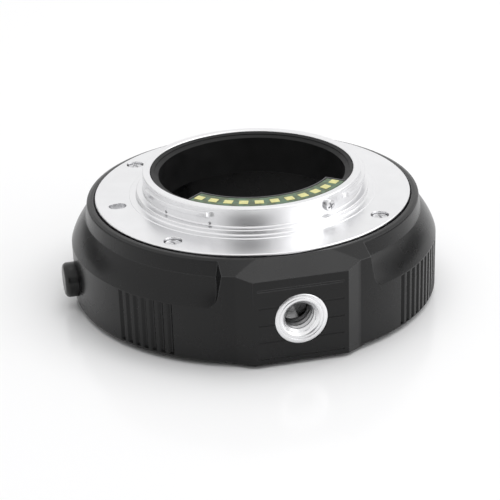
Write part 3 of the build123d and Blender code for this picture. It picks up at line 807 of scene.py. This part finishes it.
def tripod_bush():
    """Tripod bush with its cut thread, on the CAD bush's axis."""
    low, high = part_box("tripod_insert")
    outer = (high.x - low.x) / 2
    length = high.y - low.y
    minor, mouth, depth = 2.6 * MM, 3.25 * MM, 6.2 * MM
    chamfer, face_width, land_width = 0.15 * MM, 0.75 * MM, 0.22 * MM
    step_down, lead_drop, point_depth = 0.06 * MM, 0.16 * MM, 0.6 * MM
    ridge_height, ridge_slope = 1.12, 1.2
    pitch, cut = sizes().thread_pitch, sizes().thread_depth
    lead = mouth - minor
    count = ceil((depth - lead) / pitch * THREAD_STEPS)
    rim, land = outer - face_width, mouth + land_width
    start = step_down + lead_drop
    profile = [(0.0, -length), (outer, -length), (outer, -chamfer), (outer - chamfer, 0.0)]
    profile += [(rim, 0.0), (rim - step_down, -2 * step_down), (rim - 2 * step_down, -step_down)]
    profile += [(land, -step_down), (mouth, -start)]
    first = len(profile)
    for step in range(1, count + 1):
        profile.append((minor, -start - (depth - start) * step / count))
    final = len(profile) - 1
    profile += [(0.0, -depth - point_depth)]

    def shape(row, angle, r, h):
        if first <= row <= final:
            wave = (-h / pitch - angle / (2 * pi)) % 1.0
            ridge = min(1.0, max(0.0, ridge_height - ridge_slope * abs(2.0 * wave - 1.0)))
            lead_in = max(0.0, 1.0 + (h + start) / lead)
            r += cut * (1.0 - ridge)
            r = max(r, minor + lead * lead_in)
            r = min(r, mouth)
        return r, h

    middle_height = (low.z + high.z) / 2
    place = place_at(Vector((0, low.y, middle_height)), (0, -1, 0))
    points, faces = join([(place, *lathe(profile, BUSH_SECTORS, shape))])
    metal = bush_metal(scaled(finishes().alloy, 1.03), low.y, (0, 0, middle_height))
    body = body_of_node("tripod_insert")
    piece = make_piece("tripod_bush", points, faces, body, metal, crease=50)
    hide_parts("tripod_insert")


def rounded_outline(width, depth, corner):
    """Corner points of a rectangle with round corners, anticlockwise."""
    outline = []
    for turn, (sx, sy) in enumerate(((1, 1), (-1, 1), (-1, -1), (1, -1))):
        cx, cy = sx * (width / 2 - corner), sy * (depth / 2 - corner)
        for step in range(CORNER_STEPS + 1):
            angle = radians(90 * turn + 90 * step / CORNER_STEPS)
            outline.append((cx + corner * cos(angle), cy + corner * sin(angle)))
    return outline


def contact_pads():
    """Plated pads with round corners and a soft top edge."""
    soft_edge, least_corner = 0.02 * MM, 0.01 * MM
    parts = []
    for points, _ in solids_of("contact_pads"):
        centre = middle(points)
        angle = atan2(centre.y, centre.x)
        turned = [Matrix.Rotation(-angle, 4, "Z") @ p for p in points]
        low, high = corners_of(turned)
        radial, width, thick = high - low
        radial, width = radial - sizes().pad_etch, width - sizes().pad_etch
        rise = min(soft_edge, thick / 3)
        levels = ((0.0, low.z), (0.0, high.z - rise), (rise, high.z))
        shell = []
        for inset, z in levels:
            corner = max(sizes().pad_corner - inset, least_corner)
            outline = rounded_outline(radial - 2 * inset, width - 2 * inset, corner)
            shell += [Vector((x, y, z)) for x, y in outline]
        faces = [face[::-1] for face in tube_faces(len(shell) // len(levels), len(levels))]
        place = Matrix.Rotation(angle, 4, "Z") @ Matrix.Translation(((low.x + high.x) / 2, 0, 0))
        parts.append((place, shell, faces))
    points, faces = join(parts)
    gold = plain_metal("pad_gold", finishes().gold, roughness=0.32, mark=0.6 * MM)
    body = body_of_node("contact_pads")
    piece = make_piece("gold_pads", points, faces, body, gold, crease=40)
    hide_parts("contact_pads")


def board_lip():
    """Raised lip of the holder along the board's inner edge and round its two ends."""
    board = [vertex.co for vertex in NODES["contact_board"].data.vertices]
    holder = [vertex.co for vertex in NODES["contact_holder"].data.vertices]
    half = max(abs(atan2(p.x, -p.y)) for p in board)
    edge = min(p.xy.length for p in board) - LIP_CLEAR
    outside = max(p.xy.length for p in board)
    inside = min(p.xy.length for p in holder) - LIP_PROUD
    low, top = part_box("contact_board")[0].z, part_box("contact_pads")[1].z
    width = edge - inside
    share = LIP_SOFT / width

    def station(near, far, side):
        """Section of the lip: near is its radius at the board's side, far at the other side."""
        near_angle = side * (half + LIP_CLEAR / near)
        far_angle = side * (half + (LIP_CLEAR + width) / far)
        one = Vector((near * sin(near_angle), -near * cos(near_angle), 0))
        two = Vector((far * sin(far_angle), -far * cos(far_angle), 0))
        board_side = ((one, low), (one, top - LIP_SOFT), (one.lerp(two, share), top))
        open_side = ((two.lerp(one, share), top), (two, top - LIP_SOFT), (two, low))
        return [Vector((p.x, p.y, z)) for p, z in board_side + open_side]

    sections = [station(outside, outside, -1)]
    sections += [station(edge, inside, 2 * step / LIP_STEPS - 1) for step in range(LIP_STEPS + 1)]
    sections += [station(outside, outside, 1)]
    points = [p for section in sections for p in section]
    faces = tube_faces(len(sections[0]), len(sections))
    plastic = matt_plastic("lip_black", scaled(finishes().plastic_black, 9), roughness=0.4)
    body = body_of_node("contact_holder")
    make_piece("board_lip", points, faces, body, plastic, crease=30)


def contact_pins(gold):
    """Sprung pins with round tips, each on its own body."""
    pin, head_height, head_edge = 0.5 * MM, 0.6 * MM, 0.08 * MM
    for node in sorted(n for n in NODES if n.startswith("contact_pin_")):
        low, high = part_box(node)
        centre = (low + high) / 2
        head = (high.x - low.x) / 2
        profile = [(0.0, low.z)]
        for angle in quarter_turn(TIP_STEPS):
            profile.append((pin * sin(angle), low.z + pin * (1 - cos(angle))))
        profile += [(pin, high.z - head_height), (head, high.z - head_height)]
        profile += [(head, high.z - head_edge), (head - head_edge, high.z), (0.0, high.z)]
        place = Matrix.Translation((centre.x, centre.y, 0))
        points, faces = join([(place, *lathe(profile, PIN_SECTORS))])
        name = node.replace("contact_pin", "sprung_pin")
        piece = make_piece(name, points, faces, body_of_node(node), gold)
        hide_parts(node)


def contact_fingers(metal):
    """One leaf finger for each sprung pin, each with its own mesh."""
    for number, (points, faces) in enumerate(solids_of("contact_springs"), start=1):
        name = f"leaf_finger_{number}"
        piece = make_piece(name, points, faces, "adapter", metal, crease=30)
        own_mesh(piece)
        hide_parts("contact_springs")


def wire_coil(name, node, wire, turns, axis):
    """Round-wire coil spring in a CAD spring's space, with its own mesh."""
    low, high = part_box(node)
    centre = (low + high) / 2
    along = Vector(axis)
    length = (high - low).dot(Vector(abs(c) for c in axis))
    radius = (high.y - low.y) / 2 - wire
    # One dead turn at each end lies flat, and rises by the wire's thickness
    all_turns = turns + 2
    flat = 2 * wire
    steps = ceil(all_turns * WIRE_STEPS)
    points = []
    for step in range(steps + 1):
        turn = all_turns * step / steps
        work = min(max(turn - 1, 0), turns)
        dead = min(turn, 1) + max(turn - 1 - turns, 0)
        height = wire + flat * dead + (length - 2 * wire - 2 * flat) * work / turns
        angle = 2 * pi * turn
        out = Vector((cos(angle), sin(angle), 0))
        for side in range(WIRE_SIDES):
            around = 2 * pi * side / WIRE_SIDES
            points.append(out * (radius + wire * cos(around)) + Vector((0, 0, height + wire * sin(around))))
    faces = tube_faces(WIRE_SIDES, steps + 1)
    points, faces = join([(place_at(centre - along * length / 2, along), points, faces)])
    steel = plain_metal(f"{name}_wire", finishes().steel, roughness=0.25, mark=0.3 * MM)
    piece = make_piece(name, points, faces, "adapter", steel, crease=60)
    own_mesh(piece)
    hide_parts(node)


def rivets(steel):
    """Round-headed rivets that hold the leaf springs."""
    stand = 0.15 * MM
    parts = []
    for points, _ in solids_of("leaf_spring_rivets"):
        low, high = corners_of(points)
        centre = (low + high) / 2
        radius = (high.x - low.x) / 2
        profile = [(0.0, low.z), (radius, low.z), (radius, high.z - stand)]
        for angle in quarter_turn(DOME_STEPS):
            profile.append((radius * cos(angle), high.z - stand + stand * sin(angle)))
        profile[-1] = (0.0, high.z)
        parts.append((Matrix.Translation((centre.x, centre.y, 0)), *lathe(profile, RIVET_SECTORS)))
    points, faces = join(parts)
    piece = make_piece("domed_rivets", points, faces, "adapter", steel, crease=40)
    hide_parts("leaf_spring_rivets")


# Operators


class ADAPTER_OT_paint_barrel(bpy.types.Operator):
    """Paint the barrel satin black and mould the release button"""

    bl_idname = "adapter.paint_barrel"
    bl_label = "Barrel and button"

    def execute(self, context):
        finish_nodes(barrel_paint(), ["body_barrel"])
        finish_nodes(button_moulding(), ["release_button"])
        slide = matt_plastic("slide_moulding", finishes().slide_grey, roughness=0.45)
        finish_nodes(slide, ["release_slide"])
        return {"FINISHED"}


class ADAPTER_OT_turn_mounts(bpy.types.Operator):
    """Give both bayonet mounts their turned metal"""

    bl_idname = "adapter.turn_mounts"
    bl_label = "Bayonet mounts"

    def execute(self, context):
        metal = turned_metal("turned_mount_metal", finishes().alloy, roughness=0.26, anisotropy=0.45)
        finish_nodes(metal, ["camera_mount", "lens_mount"])
        return {"FINISHED"}


class ADAPTER_OT_make_screws(bpy.types.Operator):
    """Make the cross-head screws and rivets that stand for the plain CAD ones"""

    bl_idname = "adapter.make_screws"
    bl_label = "Screws and rivets"

    def execute(self, context):
        for screws in SCREWS:
            screw_set(*screws)
        rivets(plain_metal("rivet_steel", finishes().steel, roughness=0.35, mark=0.4 * MM))
        return {"FINISHED"}


class ADAPTER_OT_make_bush(bpy.types.Operator):
    """Make the tripod bush with its thread"""

    bl_idname = "adapter.make_bush"
    bl_label = "Tripod bush"

    def execute(self, context):
        tripod_bush()
        return {"FINISHED"}


class ADAPTER_OT_make_contacts(bpy.types.Operator):
    """Make the gold pads, the sprung pins and their leaf fingers"""

    bl_idname = "adapter.make_contacts"
    bl_label = "Contacts"

    def execute(self, context):
        contact_pads()
        gold = plain_metal("pin_gold", finishes().gold, roughness=0.25, mark=0.4 * MM)
        contact_pins(gold)
        contact_fingers(gold)
        return {"FINISHED"}


class ADAPTER_OT_finish_boards(bpy.types.Operator):
    """Lacquer the boards and the flat cable"""

    bl_idname = "adapter.finish_boards"
    bl_label = "Boards and cable"

    def execute(self, context):
        finish_nodes(board_lacquer(), ["contact_board", "pin_board"])
        finish_nodes(cable_film(), ["flex_cable"])
        return {"FINISHED"}


class ADAPTER_OT_finish_inside(bpy.types.Operator):
    """Finish the matt black inner mouldings and make the lip round the contact board"""

    bl_idname = "adapter.finish_inside"
    bl_label = "Baffle and holders"

    def execute(self, context):
        inner = matt_plastic("matt_inner_black", finishes().plastic_black, roughness=0.5, specular=0.25)
        finish_nodes(inner, ["light_baffle", "contact_holder", "pin_block"])
        board_lip()
        return {"FINISHED"}


class ADAPTER_OT_make_lock(bpy.types.Operator):
    """Finish the lock pin and leaf springs, and make the coil springs"""

    bl_idname = "adapter.make_lock"
    bl_label = "Lock and springs"

    def execute(self, context):
        steel = plain_metal("ground_steel", finishes().steel, roughness=0.28, mark=0.5 * MM)
        finish_nodes(steel, ["lock_pin", "lock_peg", "leaf_springs"])
        wire_coil(
            "button_coil", "button_spring", wire=0.2 * MM, turns=sizes().button_turns,
            axis=(-1, 0, 0),
        )
        wire_coil(
            "pin_coil", "lock_pin_spring", wire=0.11 * MM, turns=sizes().pin_turns,
            axis=(0, 0, 1),
        )
        return {"FINISHED"}


class ADAPTER_OT_build_stage(bpy.types.Operator):
    """Build the white table, the soft lamps and the camera"""

    bl_idname = "adapter.build_stage"
    bl_label = "Stage"

    def execute(self, context):
        build_floor()
        build_world()
        build_lamps()
        build_camera()
        context.scene.view_settings.view_transform = "Standard"
        return {"FINISHED"}


# Stage


def plane_object(name, size_x, size_y, matrix, material):
    half_x, half_y = size_x / 2, size_y / 2
    corners = [(-half_x, -half_y, 0), (half_x, -half_y, 0), (half_x, half_y, 0), (-half_x, half_y, 0)]
    mesh = bpy.data.meshes.new(name)
    mesh.from_pydata(corners, [], [(0, 1, 2, 3)])
    mesh.materials.append(material)
    card = bpy.data.objects.new(name, mesh)
    bpy.context.scene.collection.objects.link(card)
    card.matrix_world = matrix
    return card


def seen_ray(tree):
    """1 for rays that show the background: camera, glossy and transmission rays."""
    rays = add_node(tree, "ShaderNodeLightPath").outputs
    direct = combine(tree, "MAXIMUM", rays["Is Camera Ray"], rays["Is Glossy Ray"])
    return combine(tree, "MAXIMUM", direct, rays["Is Transmission Ray"])


def build_floor():
    """White table with the shadow, which a painted glow lightens round the adapter, glossy near the adapter
    and plain white far off; unseen from below.
    """
    colour = finishes().floor_white
    material, tree, shader = start_material("white_table", colour, metallic=0.0, roughness=0.15)
    place = object_place(tree)
    distance = axis_distance(tree, place)
    gloss = map_range(tree, distance, GLOSS_FADE, (TABLE_GLOSS, 0.0))
    tree.links.new(gloss, shader.inputs["Specular IOR Level"])
    cloud = noise(tree, place, size=60 * MM)
    tree.links.new(spread(tree, cloud, low=0.13, high=0.17), shader.inputs["Roughness"])
    # Painted glow from 35 mm out that lightens the shadow on the table
    near_glow = map_range(tree, distance, NEAR_GLOW_FADE, (0.0, NEAR_GLOW_SHARE))
    far = map_range(tree, distance, FAR_WHITE, (0.0, FAR_SHARE))
    shown = combine(tree, "MULTIPLY", combine(tree, "ADD", near_glow, far), seen_ray(tree))
    white = add_node(tree, "ShaderNodeEmission", {"Color": WHITE, "Strength": 1.0})
    sweep = mix_shaders(tree, shown, shader, white)
    below = add_node(tree, "ShaderNodeNewGeometry").outputs["Backfacing"]
    passed = add_node(tree, "ShaderNodeLightPath").outputs["Transparent Depth"]
    hidden = combine(tree, "ADD", below, passed, use_clamp=True)
    clear = add_node(tree, "ShaderNodeBsdfTransparent")
    sides = mix_shaders(tree, hidden, sweep, clear)
    tree.links.new(sides.outputs[0], tree.nodes["Material Output"].inputs["Surface"])
    plane_object("table", TABLE_SIZE, TABLE_SIZE, Matrix.Translation((0, 0, -TABLE_GAP)), material)


def build_world():
    """White surround: full white where it is seen, softer where it lights the object."""
    world = bpy.data.worlds.new("white_surround")
    bpy.context.scene.world = world
    world.use_nodes = True
    tree = world.node_tree
    tree.nodes.clear()
    seen = add_node(tree, "ShaderNodeBackground", {"Color": WHITE, "Strength": 1.0})
    fill = add_node(tree, "ShaderNodeBackground", {"Color": WHITE, "Strength": WORLD_FILL})
    output = add_node(tree, "ShaderNodeOutputWorld")
    mix = mix_shaders(tree, seen_ray(tree), fill, seen)
    tree.links.new(mix.outputs[0], output.inputs["Surface"])


def soft_lamp(name, place, width, height, power, mirrored):
    """Soft box that faces the object and is unseen by the camera."""
    lamp = bpy.data.lights.new(name, "AREA")
    lamp.shape = "RECTANGLE"
    lamp.size, lamp.size_y = width, height
    lamp.energy = power
    rig = bpy.data.objects.new(name, lamp)
    bpy.context.scene.collection.objects.link(rig)
    facing = Vector(place) - Vector(LAMP_TARGET)
    rig.matrix_world = place_at(Vector(place), facing)
    rig.visible_camera = False
    rig.visible_glossy = mirrored


def grey_card(name, place, width, height, grey):
    """Card that faces the object, unseen by the camera and without a shadow."""
    material, tree, shader = start_material(f"{name}_cloth", (grey,) * 3, metallic=0.0, roughness=0.9)
    weave = noise(tree, object_place(tree), size=2 * MM)
    tree.links.new(spread(tree, weave, low=0.85, high=0.95), shader.inputs["Roughness"])
    card = plane_object(name, width, height, place_at(Vector(place), -Vector(place)), material)
    card.visible_camera = False
    card.visible_shadow = False


def build_lamps():
    """Soft boxes above, in front and at the right, and grey cards in front and at both sides."""
    for lamp in LAMPS:
        soft_lamp(*lamp)
    for card in CARDS:
        grey_card(*card)


def build_camera():
    camera = bpy.data.cameras.new("photo_camera")
    camera.lens = CAMERA_LENS
    camera.sensor_width = CAMERA_SENSOR
    camera.clip_start, camera.clip_end = CAMERA_CLIP
    rig = bpy.data.objects.new("photo_camera", camera)
    bpy.context.scene.collection.objects.link(rig)
    turn = Matrix((CAMERA_RIGHT, CAMERA_UP, CAMERA_BACK)).transposed().to_4x4()
    rig.matrix_world = Matrix.Translation(CAMERA_PLACE) @ turn
    bpy.context.scene.camera = rig


class ADAPTER_PT_looks(bpy.types.Panel):
    """Sidebar panel that lists the adapter's steps"""

    bl_idname = "ADAPTER_PT_looks"
    bl_label = "Lens mount adapter"
    bl_space_type = "VIEW_3D"
    bl_region_type = "UI"
    bl_category = "Adapter"

    def draw(self, context):
        layout = self.layout
        for step in STEPS:
            layout.operator(step.bl_idname)
        for group in (context.scene.adapter_finishes, context.scene.adapter_sizes):
            box = layout.box()
            for name in type(group).__annotations__:
                box.prop(group, name)


STEPS = (
    ADAPTER_OT_paint_barrel,
    ADAPTER_OT_turn_mounts,
    ADAPTER_OT_make_screws,
    ADAPTER_OT_make_bush,
    ADAPTER_OT_make_contacts,
    ADAPTER_OT_finish_boards,
    ADAPTER_OT_finish_inside,
    ADAPTER_OT_make_lock,
    ADAPTER_OT_build_stage,
)
CLASSES = (AdapterFinishes, AdapterSizes, *STEPS, ADAPTER_PT_looks)


def register():
    for cls in CLASSES:
        bpy.utils.register_class(cls)
    bpy.types.Scene.adapter_finishes = bpy.props.PointerProperty(type=AdapterFinishes)
    bpy.types.Scene.adapter_sizes = bpy.props.PointerProperty(type=AdapterSizes)


def unregister():
    del bpy.types.Scene.adapter_sizes
    del bpy.types.Scene.adapter_finishes
    for cls in reversed(CLASSES):
        bpy.utils.unregister_class(cls)


def main():
    register()
    bpy.ops.adapter.paint_barrel()
    bpy.ops.adapter.turn_mounts()
    bpy.ops.adapter.make_screws()
    bpy.ops.adapter.make_bush()
    bpy.ops.adapter.make_contacts()
    bpy.ops.adapter.finish_boards()
    bpy.ops.adapter.finish_inside()
    bpy.ops.adapter.make_lock()
    bpy.ops.adapter.build_stage()


if __name__ == "__main__":
    main()
